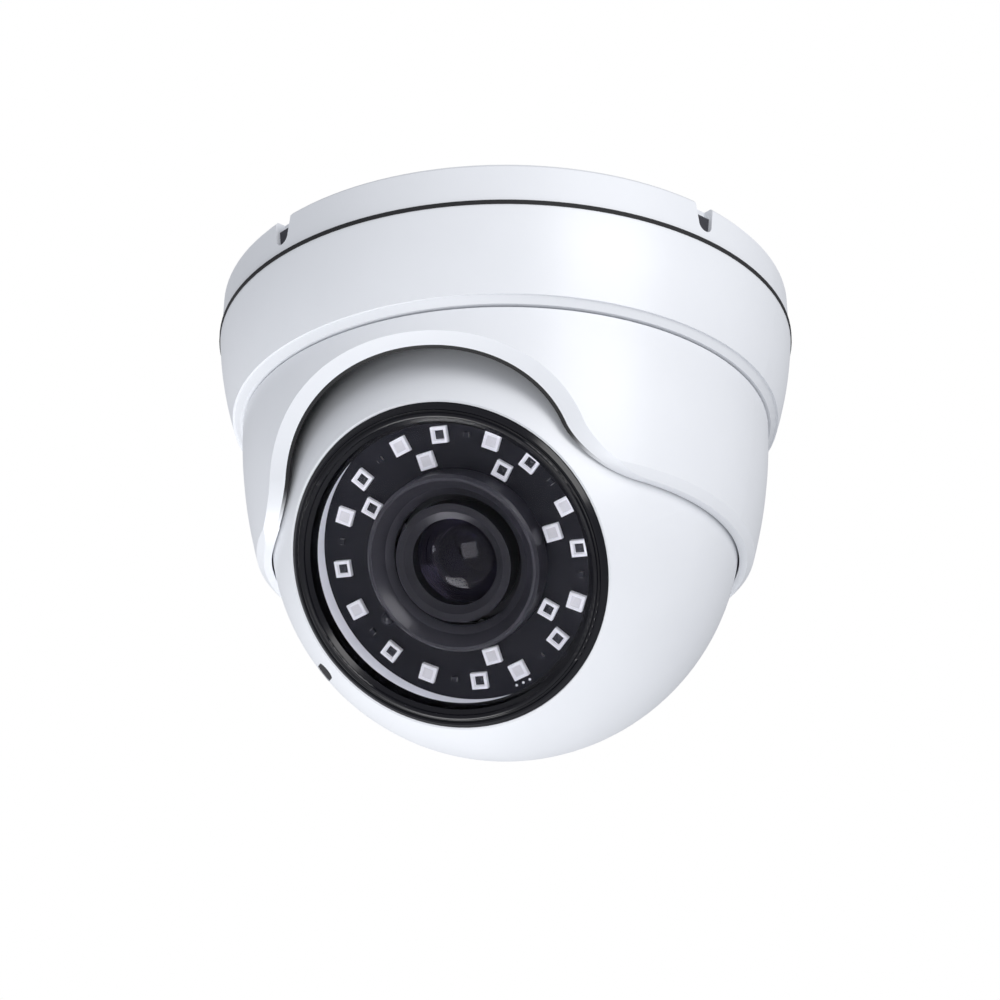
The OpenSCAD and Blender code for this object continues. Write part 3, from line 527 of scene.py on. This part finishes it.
# %% Model one emitter of each sort
def package(filled):
    """A ceramic package with an open well and chip, or with its well filled."""
    put_down()
    bpy.ops.mesh.primitive_cube_add(size=LED, location=(0, 0, LED / 2))
    edit()
    bpy.ops.mesh.select_all(action="SELECT")
    bpy.ops.transform.resize(value=(1, 1, led_tall / LED), center_override=(0, 0, 0))
    pick(lambda c, n: n.z > 0.9)
    bpy.ops.mesh.inset(thickness=LED * 0.17)
    rim = 0.12 * MM if filled else led_tall * 0.5
    bpy.ops.mesh.extrude_region_move(TRANSFORM_OT_translate={"value": (0, 0, -rim)})
    bpy.ops.transform.resize(value=(0.88, 0.88, 1), center_override=(0, 0, 0))
    if filled:
        bpy.ops.mesh.inset(thickness=LED * 0.2)
        bpy.ops.transform.translate(value=(0, 0, 0.1 * MM))
    else:
        bpy.ops.mesh.inset(thickness=LED * 0.12)
        bpy.ops.mesh.extrude_region_move(TRANSFORM_OT_translate={"value": (0, 0, 0.18 * MM)})
    piece = settle()
    soften(0.07 * MM, 2, 40)
    piece.data.materials.append(glowing_ceramic_white)
    piece.data.materials.append(glowing_phosphor if filled else chip_dark)
    inner = LED * (0.31 if filled else 0.24)
    for face in piece.data.polygons:
        middle = face.center
        inside = max(abs(middle.x), abs(middle.y)) < inner and middle.z > 0.2 * MM
        face.material_index = 1 if inside else 0
    bpy.ops.object.shade_smooth_by_angle(angle=math.radians(40))
    return piece


open_one, filled_one = package(False), package(True)
print("faces", len(open_one.data.polygons), len(filled_one.data.polygons))

# %% [markdown]
# Every copy gets its own mesh, turned to face outwards from the lens. The two sorts take turns
# round the outer row, as they do on a board that mixes two kinds of light.

# %% Place the emitters
rows = sorted({round(math.hypot(m[0], m[1]), 4) for m in emitters})
outer_row = rows[-1]
between_rows = (rows[0] + outer_row) / 2
turn_taken = {"outer": 0, "inner": 0}
for index, (x, y, low, high) in enumerate(emitters):
    row = "outer" if math.hypot(x, y) > between_rows else "inner"
    source = (filled_one, open_one)[turn_taken[row] % 2]
    turn_taken[row] += 1
    spin = Matrix.Translation((x, y, low)) @ Matrix.Rotation(math.atan2(y, x), 4, "Z")
    copy = bpy.data.objects.new(f"emitter_{index + 1:02d}", source.data.copy())
    scene.collection.objects.link(copy)
    copy.data.transform(seat @ spin)
    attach(copy, "ball")
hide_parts("ir_emitter", "emitter_chip")
for spare in (open_one, filled_one):
    bpy.data.objects.remove(spare)

# %% [markdown]
# ## Inside the lens
# Looking into the front lens shows a stepped throat that narrows to a second, smaller lens. The
# throat is one closed outline spun about the lens axis, and so is the lens, with its two curves
# worked out from their radii.

# %% Throat and second lens
THROAT_GAP, THROAT_DEEP = 0.12 * MM, 3.9 * MM
front_low, front_high, eye = reach("front_lens")
throat_top = front_low - THROAT_GAP
throat_low = front_low - THROAT_DEEP
steps = [(0.93, 0.0), (0.93, 0.22), (0.80, 0.22), (0.80, 0.46), (0.68, 0.46), (0.68, 0.70),
         (0.57, 0.70), (0.57, 1.0)]
depth = throat_top - throat_low
wall = eye * 0.985
outline = [(eye * share, throat_top - down * depth) for share, down in steps]
outline += [(wall, throat_low), (wall, throat_top)]
turn(outline)
soften(0.06 * MM, 2, 40)
throat = hand_over("lens_throat", "ball", throat_black)


def lens_outline(radius, middle, thick, bulge, count=10):
    """Half section of a biconvex lens: two arcs that bulge from a thin rim."""
    front = [(radius * i / count, middle + thick / 2 + bulge * (1 - (i / count) ** 2))
             for i in range(count + 1)]
    back = [(r, 2 * middle - z) for r, z in reversed(front)]
    return front + back


turn(lens_outline(eye * 0.56, throat_low + 1.1 * MM, 0.5 * MM, 0.55 * MM))
second = hand_over("second_lens", "ball", lens_glass, smooth=60)
print("throat", len(throat.data.polygons), "second lens", len(second.data.polygons))

# %% [markdown]
# ## Small parts on the light board
# Between the pairs of emitters sit chip resistors, and a short row of tinned test pads. One
# resistor is a cube whose two ends are pulled out and tinned; the pad is a disc with a bevelled
# rim and a solder dome. Each is modelled once and copied.


# %% One resistor and one pad
RESISTOR = 1.1 * MM
RESISTOR_MIDDLE = 0.2 * RESISTOR
END_OUT = 0.25 * MM
NEAR = 0.05 * MM
PAD_RADIUS, PAD_TALL, SOLDER_TALL = 0.24 * MM, 0.1 * MM, 0.08 * MM


def resistor():
    """A chip resistor with metal ends that stand a little proud."""
    put_down()
    bpy.ops.mesh.primitive_cube_add(size=RESISTOR, location=(0, 0, RESISTOR / 2))
    edit()
    bpy.ops.mesh.select_all(action="SELECT")
    bpy.ops.transform.resize(value=(1, 0.75, 0.4), center_override=(0, 0, 0))
    pick(lambda c, n: abs(n.x) > 0.9)
    bpy.ops.mesh.inset(thickness=0.03 * MM, use_individual=True)
    for way in (1, -1):
        pick(lambda c, n: way * n.x > 0.9 and math.hypot(c.y, c.z - RESISTOR_MIDDLE) < NEAR)
        bpy.ops.mesh.extrude_region_move(TRANSFORM_OT_translate={"value": (way * END_OUT, 0, 0)})
    piece = settle()
    soften(0.03 * MM, 2, 50)
    piece.data.materials.append(chip_dark)
    piece.data.materials.append(pad_metal)
    for face in piece.data.polygons:
        face.material_index = 1 if abs(face.center.x) > 0.53 * MM else 0
    return piece


def test_pad():
    """A pad with a low dome of solder, finished in white ceramic."""
    put_down()
    bpy.ops.mesh.primitive_cylinder_add(vertices=32, radius=PAD_RADIUS, depth=PAD_TALL,
                                        location=(0, 0, PAD_TALL / 2))
    edit()
    pick(lambda c, n: n.z > 0.9)
    bpy.ops.mesh.inset(thickness=PAD_RADIUS / 4)
    bpy.ops.mesh.extrude_region_move(TRANSFORM_OT_translate={"value": (0, 0, SOLDER_TALL)})
    bpy.ops.transform.resize(value=(0.6, 0.6, 1), center_override=(0, 0, 0))
    piece = settle()
    soften(0.02 * MM, 2, 40)
    # The pad takes the white ceramic finish, with its painted glow.
    piece.data.materials.append(glowing_ceramic_white)
    return piece


def spots_of(source, name, places):
    """Copies of one small part at (radius, angle, turn) on the board's face."""
    for index, (radius, angle, spin) in enumerate(places):
        move = (Matrix.Rotation(angle, 4, "Z") @ Matrix.Translation((radius, 0, board_front))
                @ Matrix.Rotation(spin, 4, "Z"))
        copy = bpy.data.objects.new(f"{name}_{index + 1:02d}", source.data.copy())
        scene.collection.objects.link(copy)
        copy.data.transform(seat @ move)
        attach(copy, "ball")
    bpy.data.objects.remove(source)
    return len(places)


WIDE_GAP = math.radians(22)
PAD_TURN, PAD_STEP, PAD_OUT = math.radians(-76.3), math.radians(3.2), 2.4 * MM
outer_turns = [math.atan2(y, x) for x, y, low, high in emitters if math.hypot(x, y) > between_rows]
outer_turns.append(outer_turns[0] + 2 * math.pi)
gaps = [(one + after) / 2 for one, after in zip(outer_turns, outer_turns[1:])
        if after - one > WIDE_GAP]
made = spots_of(resistor(), "resistor", [(outer_row, a, math.pi / 2) for a in gaps])
made += spots_of(test_pad(), "test_pad",
                 [(outer_row + PAD_OUT, PAD_TURN + i * PAD_STEP, 0.0) for i in (-1, 0, 1)])
print("gaps", len(gaps), "small parts", made)

# %% [markdown]
# ## The camera and the light
# The camera stands below and to one side, looking up past the window. A soft panel on the right is
# the key, a small one near the camera opens the shade under the arch, and one near the floor lifts
# the underside of the ball. A weak strip on the left draws a thin line on the bezel. The room adds
# an even light, which the camera sees as plain white. The floor lies far below, so that the camera
# can go right underneath.

# %% Camera
aim = Vector((0, 0, -0.040))
AROUND, ABOVE, DISTANCE = math.radians(23.416), math.radians(-25.80), 0.550
back = Vector((math.sin(AROUND) * math.cos(ABOVE), -math.cos(AROUND) * math.cos(ABOVE),
               math.sin(ABOVE)))
lens_data = bpy.data.cameras.new("camera")
lens_data.sensor_width = 36.0
lens_data.lens = 105.0
lens_data.shift_x = -0.0055
lens_data.shift_y = -0.0007
lens_data.clip_start, lens_data.clip_end = 0.01, 50.0
camera = bpy.data.objects.new("camera", lens_data)
camera.location = aim + back * DISTANCE
camera.rotation_euler = (-back).to_track_quat("-Z", "Y").to_euler()
scene.collection.objects.link(camera)
scene.camera = camera
print("camera at", [round(v, 4) for v in camera.location])


# %% Light and floor
def panel(name, place, size, power, colour=(1, 1, 1)):
    """A soft square light that faces the turret."""
    data = bpy.data.lights.new(name, "AREA")
    data.shape = "SQUARE"
    data.size, data.energy, data.color = size, power, colour
    light = bpy.data.objects.new(name, data)
    light.location = place
    light.rotation_euler = (Vector(place) - aim).to_track_quat("Z", "Y").to_euler()
    scene.collection.objects.link(light)
    return light


panel("key", (0.80, -0.45, 0.16), 0.6, 5.2, (1.0, 0.99, 0.98))
panel("front", (0.05, -0.70, -0.50), 0.35, 1.2, (1.0, 1.0, 1.0))
panel("under", (-0.30, 0.05, -0.70), 0.5, 4.6, (1.0, 1.0, 1.0))

world = bpy.data.worlds.new("studio")
world.use_nodes = True
scene.world = world
sky = world.node_tree
for node in list(sky.nodes):
    sky.nodes.remove(node)
seen = sky.nodes.new("ShaderNodeBackground")
seen.inputs["Color"].default_value = (1, 1, 1, 1)
seen.inputs["Strength"].default_value = 1.0
lit = sky.nodes.new("ShaderNodeBackground")
lit.inputs["Color"].default_value = (0.93, 0.95, 1.0, 1)
lit.inputs["Strength"].default_value = 0.47
path = sky.nodes.new("ShaderNodeLightPath")
choose = sky.nodes.new("ShaderNodeMixShader")
end = sky.nodes.new("ShaderNodeOutputWorld")
sky.links.new(path.outputs["Is Camera Ray"], choose.inputs["Fac"])
sky.links.new(lit.outputs["Background"], choose.inputs[1])
sky.links.new(seen.outputs["Background"], choose.inputs[2])
sky.links.new(choose.outputs["Shader"], end.inputs["Surface"])

put_down()
bpy.ops.mesh.primitive_circle_add(vertices=96, radius=4.0, fill_type="NGON",
                                  location=(0, 0, -0.75))
floor = bpy.context.active_object
floor.name = "floor"
floor.data.materials.append(finish("pale floor", (0.93, 0.93, 0.93), (0.6, 0.7), (0.98, 1.0),
                                   scale=40))
scene.view_settings.view_transform = "Standard"
panel("left strip", (-0.70, -0.45, -0.20), 0.10, 0.25, (0.95, 0.97, 1.0))
